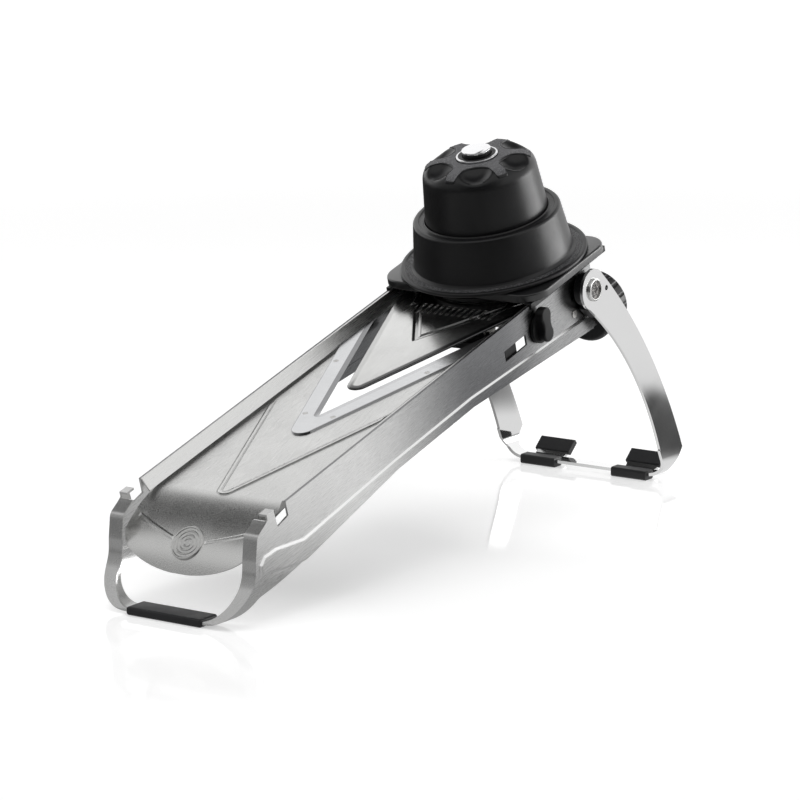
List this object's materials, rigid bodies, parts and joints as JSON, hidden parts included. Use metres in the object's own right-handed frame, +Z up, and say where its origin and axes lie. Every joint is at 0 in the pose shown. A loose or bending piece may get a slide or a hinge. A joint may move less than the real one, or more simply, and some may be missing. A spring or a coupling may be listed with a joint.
{
  "type": "V-blade mandoline slicer",
  "caption": "Steel V-blade mandoline slicer on a folding rear leg, with a sliding carriage, a turning sprung pusher, an adjustable ramp and a drop-in julienne comb.",
  "frame": {"origin": "centre of the bounding box's base, on the floor", "axes": "+X from the low front hoop to the high rear leg, +Y to the slicer's left seen from the front end, +Z up"},
  "size_m": [0.4252, 0.116, 0.2092],
  "materials": {
    "body_steel": "satin stainless sheet",
    "deck_steel": "fine satin stainless sheet",
    "medal_steel": "turned rings",
    "blade_steel": "ground and polished",
    "inner_steel": "plain stainless sheet",
    "leg_steel": "polished stainless band",
    "fastener_steel": "plain steel",
    "brass_nut": "plain brass",
    "spring_wire": "drawn wire",
    "chrome_trim": "bright chrome",
    "black_plastic": "fine moulded grain",
    "pusher_plastic": "satin moulding",
    "grip_rubber": "grained soft insert",
    "foot_rubber": "plain black rubber"
  },
  "bodies": {
    "base": {"frame": "body_steel", "deck": "deck_steel", "deck_medal": "medal_steel", "v_blade": "blade_steel", "blade_support": "inner_steel", "blade_screws": "fastener_steel", "guide_plates": "inner_steel", "rear_plate": "inner_steel", "frame_rivets": "fastener_steel", "screw_bush": "inner_steel", "comb_bushes": "inner_steel", "front_pad": "foot_rubber"},
    "leg": {"rear_leg": "leg_steel", "leg_liners": "black_plastic", "leg_pivots": "fastener_steel", "leg_nuts": "fastener_steel", "leg_shoes": "foot_rubber", "leg_tab_sleeves": "foot_rubber"},
    "dial": {"thickness_dial": "black_plastic", "lift_screw": "fastener_steel"},
    "cam_slide": {"lift_slide": "inner_steel", "lift_nut": "brass_nut"},
    "ramp_body": {"ramp": "deck_steel", "ramp_pins": "fastener_steel"},
    "comb": {"comb_bar": "black_plastic", "comb_teeth": "blade_steel", "comb_shaft": "fastener_steel", "comb_knob": "black_plastic", "comb_shaft_clip": "fastener_steel"},
    "carriage": {"carriage_plate": "black_plastic", "carriage_runners": "black_plastic"},
    "housing": {"pusher_housing": "pusher_plastic", "housing_ring": "black_plastic"},
    "plunger": {"plunger_cap": "pusher_plastic", "grip_insert": "grip_rubber", "button_washer": "chrome_trim", "spike_disc": "black_plastic", "food_spikes": "fastener_steel", "plunger_spring": "spring_wire"},
    "release": {"button_stem": "fastener_steel", "release_button": "black_plastic", "button_cap": "chrome_trim", "ejector_plate": "black_plastic", "button_spring": "spring_wire"}
  },
  "joints": [
    {"name": "leg_fold", "type": "hinge", "parent": "base", "child": "leg", "pos_m": [0.10851, 0, 0.12668], "axis": [0, 1, 0], "range_deg": [0, 98]},
    {"name": "thickness_dial_turn", "type": "hinge", "parent": "base", "child": "dial", "pos_m": [0.1363, -0.0356, 0.11002], "axis": [0.9622, 0, 0.2723], "range_deg": [0, 270]},
    {"name": "cam_slide_travel", "type": "slide", "parent": "base", "child": "cam_slide", "axis": [0.9622, 0, 0.2723], "range_m": [0, 0.009]},
    {"name": "ramp_lift", "type": "slide", "parent": "base", "child": "ramp_body", "axis": [0.2723, 0, -0.9622], "range_m": [0, 0.006]},
    {"name": "comb_lever", "type": "hinge", "parent": "base", "child": "comb", "pos_m": [0.06531, 0, 0.11113], "axis": [0, 1, 0], "range_deg": [-20, 0]},
    {"name": "carriage_slide", "type": "slide", "parent": "base", "child": "carriage", "axis": [-0.9622, 0, -0.2723], "range_m": [0, 0.24]},
    {"name": "pusher_turn", "type": "hinge", "parent": "carriage", "child": "housing", "pos_m": [0.09109, 0, 0.14856], "axis": [-0.2723, 0, 0.9622], "continuous": true},
    {"name": "plunger_press", "type": "slide", "parent": "housing", "child": "plunger", "axis": [0.2723, 0, -0.9622], "range_m": [0, 0.012], "stiffness_N_per_m": 260, "springref_m": -0.012, "deforming": ["plunger_spring"]},
    {"name": "release_press", "type": "slide", "parent": "plunger", "child": "release", "axis": [0.2723, 0, -0.9622], "range_m": [0, 0.004], "stiffness_N_per_m": 420, "springref_m": -0.005, "deforming": ["button_spring"]}
  ],
  "couplings": [
    {"joint": "cam_slide_travel", "follows": "ramp_lift", "ratio": 1.5},
    {"joint": "thickness_dial_turn", "follows": "ramp_lift", "rad_per_m": 785.39}
  ]
}
